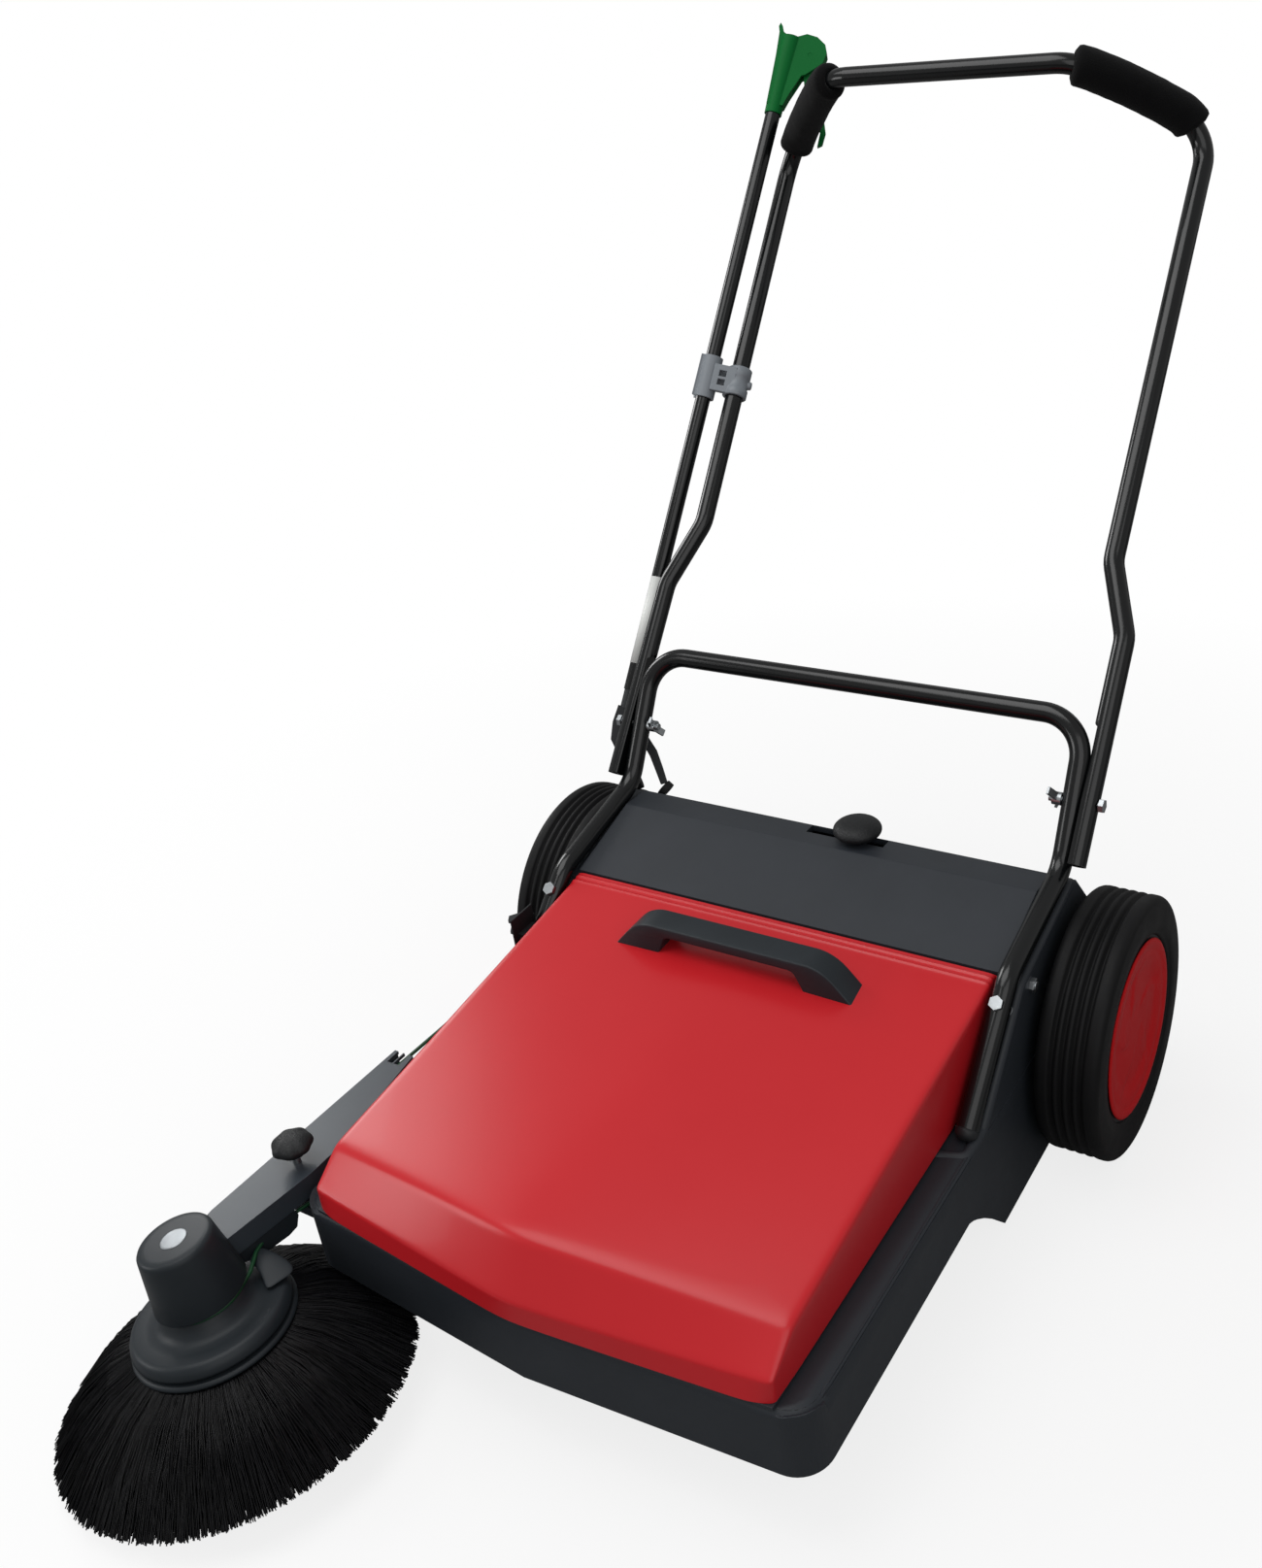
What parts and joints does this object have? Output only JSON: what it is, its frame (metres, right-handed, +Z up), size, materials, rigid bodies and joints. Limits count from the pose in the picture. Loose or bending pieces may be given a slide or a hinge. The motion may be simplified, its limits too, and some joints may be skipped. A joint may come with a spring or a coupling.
{
  "type": "manual floor sweeper",
  "caption": "Push floor sweeper with red hood, ribbed wheels, belt-driven round side brush, hidden roller brush, lift-out dirt container, folding tube handle and clipped litter picker.",
  "frame": {"origin": "on the floor below the middle of the whole machine's bounding box", "axes": "+Z up, -Y towards the machine's front (the way it is pushed), -X towards the side brush"},
  "size_m": [0.8358, 1.4868, 1.1063],
  "materials": {
    "charcoal_plastic": "fine grained",
    "red_plastic": "gloss",
    "dark_plastic": "fine grained",
    "blue_grey_plastic": "satin",
    "tyre_rubber": "matt, ribbed",
    "rubber": "matt",
    "black_tube": "satin powder coat",
    "foam": "matt foam",
    "zinc_steel": "zinc plated",
    "steel": "turned",
    "green_plastic": "satin",
    "green_belt": "satin",
    "grey_clip": "satin",
    "bristle": "satin strands",
    "gear_plastic": "natural"
  },
  "bodies": {
    "chassis": {"chassis": "charcoal_plastic", "rear_housing": "charcoal_plastic", "axle": "steel", "axle_brackets": "steel", "handle_bow": "black_tube", "hex_bolts": "zinc_steel", "wing_bolts": "zinc_steel", "wing_nuts": "zinc_steel", "belt_guide": "grey_clip", "round_belt": "green_belt", "arm_pin": "zinc_steel", "dust_lips": "rubber", "countershaft_bushes": "gear_plastic", "front_roller_pins": "steel"},
    "left_wheel": {"left_tyre": "tyre_rubber", "left_rim": "dark_plastic", "left_hub_cover": "red_plastic", "left_wheel_gear": "gear_plastic"},
    "right_wheel": {"right_tyre": "tyre_rubber", "right_rim": "dark_plastic", "right_hub_cover": "red_plastic", "right_wheel_gear": "gear_plastic"},
    "countershaft": {"countershaft": "steel", "left_pinion": "gear_plastic"},
    "right_pinion": {"right_pinion": "gear_plastic"},
    "brush_frame": {"brush_frame": "steel", "lift_post": "steel", "drive_belt": "rubber"},
    "roller": {"roller_shaft": "steel", "roller_core": "dark_plastic", "roller_bristles": "bristle"},
    "adjuster": {"adjuster_slider": "dark_plastic"},
    "adjuster_knob": {"adjuster_knob": "dark_plastic"},
    "side_arm": {"side_arm": "blue_grey_plastic", "side_cap": "charcoal_plastic", "side_axle": "steel"},
    "side_knob": {"side_stud": "zinc_steel", "side_knob": "dark_plastic"},
    "side_brush": {"side_pulley": "dark_plastic", "side_flange": "blue_grey_plastic", "side_bristles": "bristle"},
    "container": {"dirt_container": "dark_plastic"},
    "hood": {"hood": "red_plastic", "hood_handle": "charcoal_plastic"},
    "handle": {"handle_upper": "black_tube", "left_grip": "foam", "right_grip": "foam", "tool_clip": "grey_clip"},
    "picker": {"picker_tube": "black_tube", "picker_grip": "green_plastic", "picker_head": "dark_plastic", "picker_fixed_cup": "rubber"},
    "trigger": {"picker_trigger": "green_plastic"},
    "picker_rod": {"picker_rod": "steel"},
    "picker_jaw": {"picker_jaw": "dark_plastic", "picker_jaw_cup": "rubber"},
    "left_front_roller": {"left_front_roller": "rubber"},
    "right_front_roller": {"right_front_roller": "rubber"}
  },
  "joints": [
    {"name": "left_wheel_spin", "type": "hinge", "parent": "chassis", "child": "left_wheel", "pos_m": [-0.26862, 0.13451, 0.14], "axis": [1, 0, 0], "continuous": true},
    {"name": "right_wheel_spin", "type": "hinge", "parent": "chassis", "child": "right_wheel", "pos_m": [0.38138, 0.13451, 0.14], "axis": [1, 0, 0], "continuous": true},
    {"name": "countershaft_spin", "type": "hinge", "parent": "chassis", "child": "countershaft", "pos_m": [0.05638, 0.19398, 0.08053], "axis": [1, 0, 0], "continuous": true},
    {"name": "right_pinion_spin", "type": "hinge", "parent": "chassis", "child": "right_pinion", "pos_m": [0.32538, 0.19398, 0.08053], "axis": [1, 0, 0], "continuous": true},
    {"name": "brush_height", "type": "hinge", "parent": "chassis", "child": "brush_frame", "pos_m": [0.05638, 0.19398, 0.08053], "axis": [-1, 0, 0], "range_deg": [0, 3.5]},
    {"name": "roller_spin", "type": "hinge", "parent": "brush_frame", "child": "roller", "pos_m": [0.05638, 0.03451, 0.091], "axis": [1, 0, 0], "continuous": true},
    {"name": "adjuster_slide", "type": "slide", "parent": "chassis", "child": "adjuster", "axis": [-1, 0, 0], "range_m": [0, 0.0401]},
    {"name": "adjuster_knob_turn", "type": "hinge", "parent": "adjuster", "child": "adjuster_knob", "pos_m": [0.09438, 0.15051, 0.305], "axis": [0, 0, 1], "continuous": true},
    {"name": "side_arm_lift", "type": "hinge", "parent": "chassis", "child": "side_arm", "pos_m": [-0.26362, -0.26349, 0.142], "axis": [-1, 0, 0], "range_deg": [0, 5], "deforming": ["round_belt"]},
    {"name": "side_knob_turn", "type": "hinge", "parent": "side_arm", "child": "side_knob", "pos_m": [-0.25962, -0.41849, 0.188], "axis": [0, 0, 1], "continuous": true},
    {"name": "side_brush_spin", "type": "hinge", "parent": "side_arm", "child": "side_brush", "pos_m": [-0.23892, -0.56349, 0.02106], "axis": [-0.1132, 0, 0.9936], "continuous": true},
    {"name": "container_lift", "type": "slide", "parent": "chassis", "child": "container", "axis": [0, 0, 1], "range_m": [0, 0.12]},
    {"name": "hood_lift", "type": "slide", "parent": "container", "child": "hood", "axis": [0, 0, 1], "range_m": [0, 0.06]},
    {"name": "handle_fold", "type": "hinge", "parent": "chassis", "child": "handle", "pos_m": [0.05638, 0.19251, 0.365], "axis": [1, 0, 0], "range_deg": [0, 100]},
    {"name": "picker_pull_out", "type": "slide", "parent": "handle", "child": "picker", "axis": [0.0518, 0.5621, 0.8254], "range_m": [0, 0.1]},
    {"name": "picker_squeeze", "type": "hinge", "parent": "picker", "child": "trigger", "pos_m": [-0.19196, 0.72183, 1.06114], "axis": [0.3789, -0.7758, 0.5045], "range_deg": [0, 14], "stiffness_Nm_per_rad": 0.25},
    {"name": "picker_rod_pull", "type": "slide", "parent": "picker", "child": "picker_rod", "axis": [0.0518, 0.5621, 0.8254], "range_m": [0, 0.0045]},
    {"name": "picker_jaw_close", "type": "hinge", "parent": "picker", "child": "picker_jaw", "pos_m": [-0.24718, 0.2204, 0.33155], "axis": [-0.3789, 0.7758, -0.5045], "range_deg": [0, 10]},
    {"name": "left_front_roller_spin", "type": "hinge", "parent": "chassis", "child": "left_front_roller", "pos_m": [-0.11402, -0.26749, 0.0348], "axis": [1, 0, 0], "continuous": true},
    {"name": "right_front_roller_spin", "type": "hinge", "parent": "chassis", "child": "right_front_roller", "pos_m": [0.22678, -0.26749, 0.0348], "axis": [1, 0, 0], "continuous": true}
  ],
  "couplings": [
    {"joint": "countershaft_spin", "follows": "left_wheel_spin", "ratio": -3.2},
    {"joint": "roller_spin", "follows": "left_wheel_spin", "ratio": -2.6667},
    {"joint": "side_brush_spin", "follows": "left_wheel_spin", "ratio": 1},
    {"joint": "right_pinion_spin", "follows": "right_wheel_spin", "ratio": -3.2},
    {"joint": "adjuster_slide", "follows": "brush_height", "m_per_rad": 0.65481},
    {"joint": "picker_rod_pull", "follows": "picker_squeeze", "m_per_rad": 0.018},
    {"joint": "picker_jaw_close", "follows": "picker_squeeze", "ratio": 0.71429}
  ]
}
